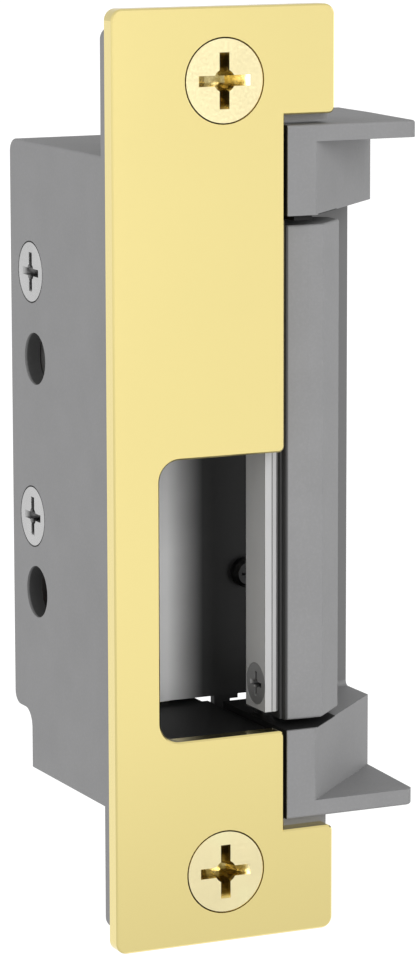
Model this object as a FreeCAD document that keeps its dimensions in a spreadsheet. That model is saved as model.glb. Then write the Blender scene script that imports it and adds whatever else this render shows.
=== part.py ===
"""Electric door strike with a notched brass faceplate, a swinging keeper and a solenoid lock.

Units are millimetres.  X points across the faceplate towards the keeper side, Y points back into
the door frame (the faceplate's front is at Y = 0), Z points up.  The origin is midway between the
two faceplate screws, on the front of the faceplate.
"""
import FreeCAD, Part

import math
import os
import re

import Sketcher
from FreeCAD import Placement, Rotation, Vector

DIMENSIONS = {
    # faceplate
    "plate_width": 31.75,
    "plate_height": 123.825,
    "plate_thick": 2.3,
    "plate_corner_radius": 1.5,
    "screw_pitch": 104.775,
    "notch_left": 8.65,
    "notch_half": 47.7,
    "pocket_left": -9.4,
    "pocket_top": 3.46,
    "pocket_bottom": -34.1,
    "pocket_corner_radius": 2.8,
    "notch_corner_radius": 0.8,
    "plate_edge_break": 0.22,
    "head_gap": 0.2,
    # faceplate screws, 12-24 flat head
    "face_head_dia": 10.9,
    "face_shank_dia": 5.486,
    "face_screw_length": 12.7,
    "face_recess_span": 7.3,
    # every flat head: a short straight rim above the cone, which slopes 41 degrees from the axis
    "head_rim": 0.25,
    "set_below": 0.02,
    # case
    "case_left": -15.4,
    "case_right": 16.0,
    "case_back": 35.4,
    "case_half": 43.0,
    "wall": 2.2,
    "case_mouth": 8.9,
    "ear_pocket_depth": 20.2,
    "tab_thick": 2.4,
    "tab_half": 59.5,
    "tab_inner": 46.7,
    "tab_corner_radius": 1.6,
    "tab_hole_dia": 7.8,
    "wire_step_depth": 29.5,
    "wire_step_top": -35.0,
    "wire_step_inner_radius": 2.3,
    "back_corner_radius": 1.8,
    "floor_top": -35.0,
    "floor_thick": 2.2,
    "floor_front_lap": 0.4,
    "floor_rear_right": 8.0,
    "wire_space_top": -33.2,
    "boss_width": 5.0,
    "boss_front": 30.0,
    "boss_low": -33.1,
    "boss_low_top": -28.5,
    "casting_edge_radius": 0.35,
    # side screws and their alternate holes
    "side_screw_depth": 28.4,
    "side_screw_upper": 25.5,
    "side_screw_lower": -7.8,
    "side_hole_depth": 27.05,
    "side_hole_upper": 13.9,
    "side_hole_lower": -18.0,
    "side_hole_dia": 7.05,
    "side_head_dia": 8.0,
    "side_shank_dia": 4.17,
    "side_screw_length": 4.4,
    "side_recess_span": 5.3,
    # screws through the case's top and bottom walls into the keeper housing's tongues
    "housing_screw_across": 3.5,
    "housing_screw_front": 9.5,
    "housing_screw_back": 16.5,
    "housing_head_dia": 6.8,
    "housing_shank_dia": 3.5,
    "housing_screw_length": 4.4,
    "housing_recess_span": 3.9,
    # pocket liner and back cover
    "liner_front": 24.0,
    "sheet_thick": 1.2,
    "liner_bottom": -34.3,
    "liner_ceiling": 3.9,
    "liner_right": 15.9,
    "liner_screw_across": 14.3,
    "liner_screw_upper": 2.4,
    "liner_screw_lower": -17.2,
    "liner_head_dia": 4.1,
    "liner_head_height": 1.5,
    "liner_shank_dia": 1.9,
    "liner_screw_length": 5.6,
    "liner_ceiling_right": 7.0,
    "liner_tab_left": 9.7,
    "liner_tab_right": 12.1,
    "liner_tab_drop": 2.2,
    "liner_hook_left": 12.0,
    "liner_hook_right": 13.3,
    "liner_hook_drop": 0.6,
    "liner_tab_root": -30.0,
    "liner_pad_left": 12.2,
    "liner_pad_half": 2.4,
    "liner_pad_back": 31.0,
    "sheet_gap": 0.1,
    "cover_thick": 1.5,
    "small_head_dia": 4.4,
    "small_head_height": 1.4,
    "small_shank_dia": 2.5,
    "cover_screw_length": 4.8,
    "frame_screw_length": 3.6,
    # keeper housing
    "ear_left": 9.1,
    "ear_front_right": 13.26,
    "housing_right": 29.0,
    "ramp_back": 15.1,
    "housing_back": 24.0,
    "back_wall_front": 21.8,
    "back_wall_left": 16.6,
    "upper_ear_bottom": 34.5,
    "lower_ear_top": -34.2,
    "ear_outer": 46.3,
    "lip_right": 28.1,
    "lip_thick": 2.2,
    "lip_tip_radius": 1.1,
    "tongue_thick": 2.2,
    "foot_radius": 0.7,
    "land_drop": 0.7,
    "land_front": 0.6,
    "land_back": 18.0,
    "stop_left": 14.0,
    "stop_right": 19.0,
    "stop_front": 19.3,
    "tongue_left": 1.2,
    "tongue_front": 6.0,
    # keeper
    "pivot_across": 12.2,
    "pivot_deep": 12.2,
    "pin_dia": 4.0,
    "pin_half": 42.05,
    "running_gap": 0.05,
    "press_gap": 0.02,
    "keeper_top": 33.05,
    "keeper_bottom": -33.3,
    "keeper_left": 9.94,
    "keeper_seat": 9.7,
    "keeper_front": 2.0,
    "keeper_bevel_start": 15.3,
    "keeper_bevel_end": 19.95,
    "keeper_bevel_depth": 6.6,
    "keeper_bar_back": 9.3,
    "hub_radius": 3.0,
    "heel_width": 3.0,
    "heel_reach": 9.3,
    "heel_bottom": 12.6,
    "heel_top": 18.6,
    "spring_window_bottom": 22.0,
    "spring_window_top": 29.0,
    # keeper shims
    "shim_thick": 1.1,
    "shim_front": 3.5,
    "shim_depth": 5.8,
    "shim_half": 32.2,
    "shim_screw_half_pitch": 28.8,
    "shim_head_dia": 5.6,
    "shim_shank_dia": 3.0,
    "shim_screw_length": 7.0,
    "shim_recess_span": 3.4,
    # lock mechanism
    "cheek_thick": 1.6,
    "cheek_front": 20.0,
    "cheek_back": 33.0,
    "right_cheek_front": 24.0,
    "leg_front": 25.4,
    "leg_bottom": -13.8,
    "web_bottom": 13.5,
    "collar_radius": 3.2,
    "collar_length": 2.3,
    "collar_relief_radius": 2.6,
    "collar_relief_depth": 0.6,
    "mechanism_bottom": 5.8,
    "mechanism_top": 36.0,
    "web_front": 29.5,
    "coil_across": -2.5,
    "coil_deep": 18.5,
    "coil_radius": 8.2,
    "frame_bottom": 18.8,
    "frame_top": 38.4,
    "frame_width": 16.0,
    "frame_thick": 1.6,
    "frame_front": 10.5,
    "frame_screw_lower": 24.0,
    "frame_screw_upper": 33.0,
    "plunger_dia": 7.0,
    "cross_pin_dia": 2.0,
    "plunger_low": 6.2,
    "plunger_high": 26.5,
    "core_low": 31.0,
    "lever_pivot_deep": 30.5,
    "lever_pivot_height": 8.5,
    "lever_pin_dia": 3.0,
    "lever_thick": 2.5,
    "lever_knuckle_radius": 2.7,
    "lever_eye_radius": 2.3,
    "lever_slot_radius": 1.25,
    "lever_front": 22.6,
    "tooth_left": 7.6,
    "tooth_right": 10.4,
    "tooth_front": 17.8,
    "tooth_top": 12.2,
    "clip_bottom": 12.0,
    "clip_thick": 0.7,
    "clip_radius": 5.0,
    "clip_mouth_half": 1.8,
    "clip_groove_radius": 2.9,
    "plunger_slot_half": 1.25,
    "bobbin_bore_radius": 3.9,
    "bobbin_tube_radius": 4.7,
    "bobbin_flange_thick": 1.2,
    "core_radius": 3.85,
    "core_rivet_radius": 2.5,
    # leads and connector
    "lead_dia": 1.2,
    "lead_deep": 32.9,
    "lead_exit": 34.5,
    "lead_bend_radius": 1.6,
    "lead_left": -7.2,
    "lead_spacing": 1.4,
    "connector_left": -7.8,
    "connector_width": 11.0,
    "connector_wall": 0.8,
    "contact_half": 0.32,
    "contact_pitch": 2.5,
    "connector_front": 27.2,
    "connector_depth": 6.0,
    "connector_bottom": -36.6,
    "connector_height": 9.6,
    # springs
    "keeper_spring_wire": 0.8,
    "keeper_spring_radius": 2.55,
    "keeper_spring_bottom": 22.9,
    "keeper_spring_height": 5.2,
    "plunger_spring_wire": 0.5,
    "plunger_spring_radius": 4.2,
}

UPRIGHT = Rotation()
TO_BACK = Rotation(Vector(1, 0, 0), -90)
TO_RIGHT = Rotation(Vector(0, 1, 0), 90)
TO_FRONT = Rotation(Vector(1, 0, 0), 90)
DOWNWARD = Rotation(Vector(1, 0, 0), 180)
SIDEWAYS = Rotation(Vector(0, 0, 1), 90)

doc = FreeCAD.newDocument("ElectricDoorStrike")
parts = []


# ------------------------------------------------------------------ document helpers

def fill_sheet():
    """Write the driving dimensions, one row each, and give each cell its alias."""
    sheet = doc.addObject("Spreadsheet::Sheet", "Dimensions")
    for row, (name, value) in enumerate(DIMENSIONS.items(), start=1):
        sheet.set(f"A{row}", name)
        sheet.set(f"B{row}", str(value))
        sheet.setAlias(f"B{row}", name)
    doc.recompute()


def size(name):
    """The value of one driving dimension, read back from the sheet."""
    return float(doc.Dimensions.get(name))


def formula(text):
    """Turn dimension names in a formula into references to the sheet."""
    def reference(match):
        word = match.group()
        return f"Dimensions.{word}" if word in DIMENSIONS else word
    return re.sub(r"[a-z_]+", reference, str(text))


def bind(item, **sizes):
    for name, text in sizes.items():
        item.setExpression(name, formula(text))


def place(item, at, turn=UPRIGHT):
    """Set an object's Placement: a fixed turn and a position bound to the sheet."""
    item.Placement = Placement(Vector(), turn)
    for axis, text in zip("xyz", at):
        item.setExpression(f"Placement.Base.{axis}", formula(text))


def block(name, low, high):
    """A box between two corners, each given as three formulas."""
    item = doc.addObject("Part::Box", name)
    length, width, height = (f"({top}) - ({bottom})" for bottom, top in zip(low, high))
    bind(item, Length=length, Width=width, Height=height)
    place(item, low)
    return item


def rod(name, radius, length, at, turn=UPRIGHT):
    item = doc.addObject("Part::Cylinder", name)
    bind(item, Radius=radius, Height=length)
    place(item, at, turn)
    return item


def taper(name, radius, end_radius, length, at, turn=UPRIGHT):
    item = doc.addObject("Part::Cone", name)
    bind(item, Radius1=radius, Radius2=end_radius, Height=length)
    place(item, at, turn)
    return item


def join(name, shapes):
    item = doc.addObject("Part::MultiFuse", name)
    item.Shapes = shapes
    item.Refine = True
    return item


def cut(name, base, tools):
    item = doc.addObject("Part::Cut", name)
    item.Base = base
    item.Tool = tools[0] if len(tools) == 1 else join(f"{name}_tools", tools)
    item.Refine = True
    return item


def group(name, shapes):
    item = doc.addObject("Part::Compound", name)
    item.Links = shapes
    return item


def keep(item, label):
    """Mark an object as one sub-part of the strike, under its final label."""
    item.Label = label
    parts.append(item)
    return item


def origin_plane(body, role):
    return next(item for item in body.Origin.OriginFeatures if item.Role == role)


def outline(body, name, plane, corners, start="0"):
    """A closed polygon on one of the body's own planes, every corner held by two distances."""
    sketch = body.newObject("Sketcher::SketchObject", name)
    sketch.AttachmentSupport = (origin_plane(body, plane), [""])
    sketch.MapMode = "FlatFace"
    sketch.setExpression("AttachmentOffset.Base.z", formula(start))
    count = len(corners)
    ring = [Vector(40 * math.cos(2 * math.pi * k / count), 40 * math.sin(2 * math.pi * k / count), 0)
            for k in range(count)]
    for k in range(count):
        sketch.addGeometry(Part.LineSegment(ring[k], ring[(k + 1) % count]), False)
    for k in range(count):
        sketch.addConstraint(Sketcher.Constraint("Coincident", k, 2, (k + 1) % count, 1))
    for k, corner in enumerate(corners):
        for kind, text in zip(("DistanceX", "DistanceY"), corner):
            index = sketch.addConstraint(Sketcher.Constraint(kind, -1, 1, k, 1, 1.0))
            sketch.setExpression(f"Constraints[{index}]", formula(text))
    return sketch


def new_body(name):
    return doc.addObject("PartDesign::Body", name)


def pad(body, name, plane, corners, start, length):
    """Pad a polygon.  On XZ_Plane the plane's normal is -Y, so start and direction are flipped."""
    offset = f"-({start})" if plane == "XZ_Plane" else start
    feature = body.newObject("PartDesign::Pad", name)
    feature.Profile = outline(body, f"{name}_sketch", plane, corners, offset)
    bind(feature, Length=length)
    feature.Reversed = plane == "XZ_Plane"
    feature.Refine = True
    return feature


def turned(name, corners):
    """A body of revolution about its own Z axis: corners are (radius, height)."""
    body = new_body(name)
    feature = body.newObject("PartDesign::Revolution", f"{name}_turn")
    sketch = outline(body, f"{name}_profile", "XZ_Plane", corners)
    feature.Profile = sketch
    feature.ReferenceAxis = (sketch, ["V_Axis"])
    feature.Angle = 360
    return body


def dress_edges(body, name, extent, wanted, kind="Fillet"):
    """Round (or, with kind Chamfer, bevel) the edges of the body for which wanted(edge) is true."""
    doc.recompute()
    picked = [f"Edge{number}" for number, edge in enumerate(body.Shape.Edges, start=1) if wanted(edge)]
    if not picked:
        raise ValueError(f"{name} found no edges")
    last = body.Tip
    feature = body.newObject(f"PartDesign::{kind}", name)
    feature.Refine = False
    feature.Base = (last, picked)
    bind(feature, **{"Radius" if kind == "Fillet" else "Size": extent})
    return feature


def runs_along(edge, axis):
    """True where a straight edge is parallel to one of the three axes."""
    if edge.Curve.TypeId != "Part::GeomLine":
        return False
    direction = edge.Vertexes[-1].Point - edge.Vertexes[0].Point
    return abs(direction[axis]) > 0.999 * direction.Length


def near(edge, **place_at):
    """True where the middle of an edge is at the given x, y or z."""
    middle = edge.CenterOfMass
    return all(abs(getattr(middle, axis) - value) < 0.02 for axis, value in place_at.items())


def sink_height(head_dia, shank_dia):
    """How deep a flat head's cone goes."""
    return f"({head_dia} - {shank_dia}) / 2 / tan(41 deg)"


def cross_recess(name, span, top="0"):
    """The tools for a cross recess: two slots and a centre cone, all narrowing with depth."""
    depth = f"{span} * 0.42"
    slots = []
    for side, turn in (("a", TO_FRONT), ("b", SIDEWAYS.multiply(TO_FRONT))):
        slot = doc.addObject("Part::Wedge", f"{name}_slot_{side}")
        bind(slot, Xmin=f"-{span} / 2", Xmax=f"{span} / 2", Zmin=f"-{span} * 0.096", Zmax=f"{span} * 0.096",
             X2min=f"-{span} * 0.2", X2max=f"{span} * 0.2", Z2min=f"-{span} * 0.06", Z2max=f"{span} * 0.06",
             Ymin="0", Ymax=depth)
        place(slot, ("0", "0", top), turn)
        slots.append(slot)
    centre = taper(f"{name}_centre", f"{span} * 0.21", f"{span} * 0.11", depth, ("0", "0", top))
    return slots + [centre]


def flat_screw(name, head_dia, shank_dia, length, recess_span, at, turn):
    """A flat-head cross-recess screw.  Local Z runs from the head's top face into the work."""
    pieces = [
        rod(f"{name}_rim", f"{head_dia} / 2", "head_rim", ("0", "0", "0")),
        taper(f"{name}_cone", f"{head_dia} / 2", f"{shank_dia} / 2", sink_height(head_dia, shank_dia),
              ("0", "0", "head_rim")),
        rod(f"{name}_shank", f"{shank_dia} / 2", f"{length} - head_rim", ("0", "0", "head_rim")),
    ]
    screw = cut(name, join(f"{name}_body", pieces), cross_recess(name, recess_span))
    place(screw, at, turn)
    return screw


def pan_screw(name, head_dia, head_height, shank_dia, length, at, turn):
    """A pan-head screw.  Local Z runs into the work and the head stands on the -Z side."""
    straight = f"{head_height} * 0.6"
    pieces = [
        rod(f"{name}_head", f"{head_dia} / 2", straight, ("0", "0", f"-({straight})")),
        taper(f"{name}_crown", f"{head_dia} * 0.38", f"{head_dia} / 2", f"{head_height} * 0.4",
              ("0", "0", f"-{head_height}")),
        rod(f"{name}_shank", f"{shank_dia} / 2", length, ("0", "0", "0")),
    ]
    recess = cross_recess(name, f"{head_dia} * 0.52", f"-{head_height}")
    screw = cut(name, join(f"{name}_body", pieces), recess)
    place(screw, at, turn)
    return screw


def flat_sink(name, head_dia, shank_dia, at, turn, gap="running_gap"):
    """The tools for a flat head's seat: a straight mouth and a cone.  at is on the surface."""
    def along(distance):
        """The place that is a distance below the surface, as three formulas."""
        step = turn.multVec(Vector(0, 0, 1))
        return tuple(f"{start} + {round(part)} * ({distance})" for start, part in zip(at, step))
    return [
        rod(f"{name}_mouth", f"{head_dia} / 2 + {gap}", "head_rim + 1", along("-1"), turn),
        taper(f"{name}_sink", f"{head_dia} / 2 + {gap}", f"{shank_dia} / 2 + running_gap",
              sink_height(head_dia, shank_dia), along("head_rim"), turn),
    ]


def coil_spring(label, wire, radius, turns, height, at, start_angle=0, start_leg=0, end_leg=0):
    """A spring about a vertical axis, whose straight legs run on along the coil's tangents.

    The coil's wire is ten-sided, and each leg is a slightly slimmer rod that starts inside the coil.
    """
    sides = 10
    leg_radius = 0.93 * wire / 2
    inside = wire / 4
    helix = Part.makeHelix(height / turns, height, radius)
    corners = [Vector(radius + wire / 2 * math.cos(2 * math.pi * k / sides), 0,
                      wire / 2 * math.sin(2 * math.pi * k / sides)) for k in range(sides)]
    section = Part.makePolygon(corners + corners[:1])
    shape = Part.Wire(helix.Edges).makePipeShell([section], True, True)
    if start_leg:
        root = Vector(radius, inside, 0)
        shape = shape.fuse(Part.makeCylinder(leg_radius, start_leg + inside, root, Vector(0, -1, 0)))
    if end_leg:
        turn = Rotation(Vector(0, 0, 1), 360 * turns)
        root = turn.multVec(Vector(radius, -inside, 0)) + Vector(0, 0, height)
        along = turn.multVec(Vector(0, 1, 0))
        shape = shape.fuse(Part.makeCylinder(leg_radius, end_leg + inside, root, along))
    item = doc.addObject("Part::Feature", label)
    item.Shape = shape.Solids[0]
    item.Placement = Placement(at, Rotation(Vector(0, 0, 1), start_angle))
    return keep(item, label)


# ------------------------------------------------------------------ faceplate and its screws

def make_faceplate():
    body = new_body("plate_body")
    side, end = "plate_width / 2", "plate_height / 2"
    corners = [
        (f"-{side}", f"-{end}"), (side, f"-{end}"), (side, "-notch_half"), ("notch_left", "-notch_half"),
        ("notch_left", "pocket_bottom"), ("pocket_left", "pocket_bottom"),
        ("pocket_left", "pocket_top"), ("notch_left", "pocket_top"),
        ("notch_left", "notch_half"), (side, "notch_half"), (side, end), (f"-{side}", end),
    ]
    pad(body, "plate_pad", "XZ_Plane", corners, "0", "plate_thick")
    half_width = size("plate_width") / 2
    half_height = size("plate_height") / 2
    dress_edges(body, "outer_corners", "plate_corner_radius", lambda edge: runs_along(edge, 1)
                and abs(abs(edge.CenterOfMass.z) - half_height) < 0.02)
    dress_edges(body, "pocket_corners", "pocket_corner_radius", lambda edge: runs_along(edge, 1)
                and near(edge, x=size("pocket_left")))
    dress_edges(body, "notch_corners", "notch_corner_radius", lambda edge: runs_along(edge, 1)
                and (near(edge, x=half_width) and abs(edge.CenterOfMass.z) < 50
                     or near(edge, x=size("notch_left")) and abs(edge.CenterOfMass.z) < 40))
    dress_edges(body, "front_edge_break", "plate_edge_break", lambda edge: near(edge, y=0.0), "Chamfer")
    sinks = []
    for name, sign in (("upper", ""), ("lower", "-")):
        sinks += flat_sink(f"plate_{name}", "face_head_dia", "face_shank_dia",
                           ("0", "0", f"{sign}screw_pitch / 2"), TO_BACK, "head_gap")
    keep(cut("faceplate", body, sinks), "faceplate")


def make_faceplate_screws():
    screws = [
        flat_screw(f"face_screw_{name}", "face_head_dia", "face_shank_dia", "face_screw_length",
                   "face_recess_span", ("0", "set_below", f"{sign}screw_pitch / 2"), TO_BACK)
        for name, sign in (("upper", ""), ("lower", "-"))
    ]
    keep(group("faceplate_screws", screws), "faceplate_screws")


# ------------------------------------------------------------------ case

def make_case():
    body = new_body("case_body")
    side_view = [
        ("plate_thick", "-case_half"), ("wire_step_depth", "-case_half"),
        ("wire_step_depth", "wire_step_top"), ("case_back", "wire_step_top"),
        ("case_back", "case_half"), ("plate_thick", "case_half"),
    ]
    pad(body, "case_pad", "YZ_Plane", side_view, "case_left", "case_right - case_left")
    step = size("wire_step_depth")
    step_top = size("wire_step_top")
    back = size("case_back")
    dress_edges(body, "wire_step_root", "wire_step_inner_radius",
                lambda edge: runs_along(edge, 0) and near(edge, y=step, z=step_top))
    dress_edges(body, "back_corners", "back_corner_radius",
                lambda edge: runs_along(edge, 0) and near(edge, y=back))
    left, right, front = size("case_left"), size("case_right"), size("plate_thick")
    dress_edges(body, "case_outer_edges", "casting_edge_radius",
                lambda edge: (near(edge, x=left) or near(edge, x=right)) and not near(edge, y=front))
    inner_left = "case_left + wall"
    inner_right = "case_right - wall"
    inner_half = "case_half - wall"
    hollow = block("case_hollow", (inner_left, "0", f"-({inner_half})"),
                   (inner_right, "case_back + 1", inner_half))
    ear_space = block("case_ear_space", ("case_mouth", "0", "-(tab_half + 1)"),
                      ("case_right + 1", "ear_pocket_depth", "tab_half + 1"))
    keeper_space = block("case_keeper_space", (inner_right, "ear_pocket_depth - 1", f"-({inner_half})"),
                         ("case_right + 1", "liner_front + sheet_thick + sheet_gap", inner_half))
    wire_space = block("case_wire_space", (f"{inner_right} - 1", "liner_front", f"-({inner_half})"),
                       ("case_right + 1", "case_back + 1", "wire_space_top"))
    shell = cut("case_shell", body, [hollow, ear_space, keeper_space, wire_space])
    additions = [shell] + case_tabs() + case_floor() + case_bosses()
    whole = join("case_whole", additions)
    keep(cut("case", whole, case_holes()), "case")


def case_tabs():
    """The two mounting tabs behind the faceplate, each notched for an ear."""
    tabs = []
    back = "plate_thick + tab_thick"
    for name, low, high, inner_low, inner_high in (
            ("upper", "case_half - wall", "tab_half", "tab_inner", "tab_half"),
            ("lower", "-tab_half", "-(case_half - wall)", "-tab_half", "-tab_inner")):
        body = new_body(f"tab_{name}")
        left, right, mouth = "case_left", "case_right", "case_mouth"
        outer = high if name == "upper" else low
        step = inner_low if name == "upper" else inner_high
        root = low if name == "upper" else high
        corners = [(left, root), (mouth, root), (mouth, step), (right, step), (right, outer), (left, outer)]
        pad(body, f"tab_{name}_pad", "XZ_Plane", corners, "plate_thick", f"{back} - plate_thick")
        dress_edges(body, f"tab_{name}_corners", "tab_corner_radius", lambda edge: runs_along(edge, 1)
                    and abs(abs(edge.CenterOfMass.z) - size("tab_half")) < 0.02)
        tabs.append(body)
    return tabs


def case_floor():
    """The floor of the latch pocket, with a window at the back that the connector snaps into."""
    low = "floor_top - floor_thick"
    front = block("case_floor_front", ("case_left + 1", "plate_thick", low),
                  ("case_mouth", "liner_front + floor_front_lap", "floor_top"))
    rear = block("case_floor_rear", ("case_left + 1", "plate_thick", low),
                 ("floor_rear_right", "wire_step_depth", "floor_top"))
    window = block("case_floor_window", ("connector_left - 0.1", "connector_front - 0.1", f"{low} - 1"),
                   ("connector_left + connector_width + 0.1", "wire_step_depth + 1", "floor_top + 1"))
    return [cut("case_floor", join("case_floor_slab", [front, rear]), [window])]


def case_bosses():
    """Four square posts for the back cover's screws and two pads for the liner's."""
    front = "boss_front"
    back = "case_back - cover_thick"
    left = ("case_left + 1", "case_left + wall + boss_width")
    right = ("case_right - wall - boss_width", "case_right - 1")
    high = ("case_half - wall - boss_width + 1", "case_half - 1")
    low = ("boss_low", "boss_low_top")
    bosses = []
    for side_name, side in (("left", left), ("right", right)):
        for level_name, level in (("upper", high), ("lower", low)):
            bosses.append(block(f"boss_{side_name}_{level_name}", (side[0], front, level[0]),
                                (side[1], back, level[1])))
    for name in ("upper", "lower"):
        height = f"liner_screw_{name}"
        bosses.append(block(f"liner_pad_{name}",
                            ("liner_pad_left", "liner_front + sheet_thick + sheet_gap",
                             f"{height} - liner_pad_half"),
                            ("case_right - 1", "liner_pad_back", f"{height} + liner_pad_half")))
    return bosses


def boss_centres():
    """Where the back cover's screws go."""
    left = "case_left + wall + boss_width / 2"
    right = "case_right - wall - boss_width / 2"
    high = "case_half - wall - boss_width / 2 + 0.3"
    low = "(boss_low + boss_low_top) / 2"
    return [(left, high), (right, high), (left, low), (right, low)]


def case_holes():
    tools = []
    for name, sign in (("upper", ""), ("lower", "-")):
        tools.append(rod(f"tab_hole_{name}", "tab_hole_dia / 2", "plate_thick + tab_thick + 1",
                         ("0", "0", f"{sign}screw_pitch / 2"), TO_BACK))
        tools.append(rod(f"side_hole_{name}", "side_hole_dia / 2", "wall + 2",
                         ("case_left - 1", "side_hole_depth", f"side_hole_{name}"), TO_RIGHT))
        tools.append(rod(f"side_thread_{name}", "side_shank_dia / 2 + running_gap", "wall + 2",
                         ("case_left - 1", "side_screw_depth", f"side_screw_{name}"), TO_RIGHT))
        tools += flat_sink(f"side_{name}", "side_head_dia", "side_shank_dia",
                           ("case_left", "side_screw_depth", f"side_screw_{name}"), TO_RIGHT, "head_gap")
    for name, (across, deep, sign) in housing_screw_places().items():
        turn = DOWNWARD if sign == "" else UPRIGHT
        surface = (across, deep, f"{sign}case_half")
        tools.append(rod(f"{name}_hole", "housing_shank_dia / 2 + running_gap", "wall + 2", surface, turn))
        tools += flat_sink(name, "housing_head_dia", "housing_shank_dia", surface, turn)
    for number, (across, height) in enumerate(boss_centres()):
        tools.append(rod(f"boss_hole_{number}", "small_shank_dia / 2 + running_gap", "cover_thick + 5",
                         (across, "case_back - 5", height), TO_BACK))
    for name in ("upper", "lower"):
        tools.append(rod(f"liner_hole_{name}", "liner_shank_dia / 2 + running_gap",
                         "liner_screw_length + 0.3",
                         ("liner_screw_across", "liner_front", f"liner_screw_{name}"), TO_BACK))
    return tools


def housing_screw_places():
    """Two screws through the case's top wall and two through its bottom wall."""
    places = {}
    for level, sign in (("top", ""), ("bottom", "-")):
        for row in ("front", "back"):
            places[f"housing_screw_{level}_{row}"] = ("housing_screw_across", f"housing_screw_{row}", sign)
    return places


def make_side_screws():
    screws = [
        flat_screw(f"side_screw_{name}_piece", "side_head_dia", "side_shank_dia", "side_screw_length",
                   "side_recess_span", ("case_left + set_below", "side_screw_depth", f"side_screw_{name}"),
                   TO_RIGHT)
        for name in ("upper", "lower")
    ]
    keep(group("side_screws", screws), "side_screws")


def make_housing_screws():
    screws = []
    for name, (across, deep, sign) in housing_screw_places().items():
        turn = DOWNWARD if sign == "" else UPRIGHT
        inward = "-" if sign == "" else "+"
        screws.append(flat_screw(f"{name}_piece", "housing_head_dia", "housing_shank_dia",
                                 "housing_screw_length", "housing_recess_span",
                                 (across, deep, f"{sign}case_half {inward} set_below"), turn))
    keep(group("housing_screws", screws), "housing_screws")


def make_back_cover():
    plate = block("cover_plate",
                  ("case_left + wall + sheet_gap", "case_back - cover_thick", "wire_step_top"),
                  ("case_right - wall - sheet_gap", "case_back", "case_half - wall - sheet_gap"))
    holes = [
        rod(f"cover_hole_{number}", "small_shank_dia / 2 + 0.1", "cover_thick + 2",
            (across, "case_back - cover_thick - 1", height), TO_BACK)
        for number, (across, height) in enumerate(boss_centres())
    ]
    keep(cut("back_cover", plate, holes), "back_cover")
    screws = [
        pan_screw(f"cover_screw_{number}", "small_head_dia", "small_head_height", "small_shank_dia",
                  "cover_screw_length", (across, "case_back", height), TO_FRONT)
        for number, (across, height) in enumerate(boss_centres())
    ]
    keep(group("back_cover_screws", screws), "back_cover_screws")


# ------------------------------------------------------------------ pocket liner

def make_pocket_liner():
    """A folded sheet: the pocket's back wall, its ceiling and a locating tab at the bottom."""
    left = "case_left + wall + sheet_gap"
    back = "liner_front + sheet_thick"
    wall = block("liner_wall", (left, "liner_front", "liner_bottom"),
                 ("liner_right", back, "liner_ceiling + sheet_thick"))
    ceiling = block("liner_top", (left, "plate_thick + tab_thick + sheet_gap", "liner_ceiling"),
                    ("liner_ceiling_right", back, "liner_ceiling + sheet_thick"))
    tab = block("liner_tab", ("liner_tab_left", "liner_front", "liner_bottom - liner_tab_drop"),
                ("liner_tab_right", back, "liner_tab_root"))
    hook = block("liner_hook", ("liner_hook_left", "liner_front", "liner_bottom - liner_hook_drop"),
                 ("liner_hook_right", back, "liner_tab_root"))
    folded = join("liner_folded", [wall, ceiling, tab, hook])
    holes = [
        rod(f"liner_screw_hole_{name}", "liner_shank_dia / 2 + 0.15", "sheet_thick + 2",
            ("liner_screw_across", "liner_front - 1", f"liner_screw_{name}"), TO_BACK)
        for name in ("upper", "lower")
    ]
    keep(cut("pocket_liner", folded, holes), "pocket_liner")
    screws = [
        pan_screw(f"liner_screw_{name}_piece", "liner_head_dia", "liner_head_height", "liner_shank_dia",
                  "liner_screw_length", ("liner_screw_across", "liner_front", f"liner_screw_{name}"),
                  TO_BACK)
        for name in ("upper", "lower")
    ]
    keep(group("liner_screws", screws), "liner_screws")


# ------------------------------------------------------------------ keeper housing

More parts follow.
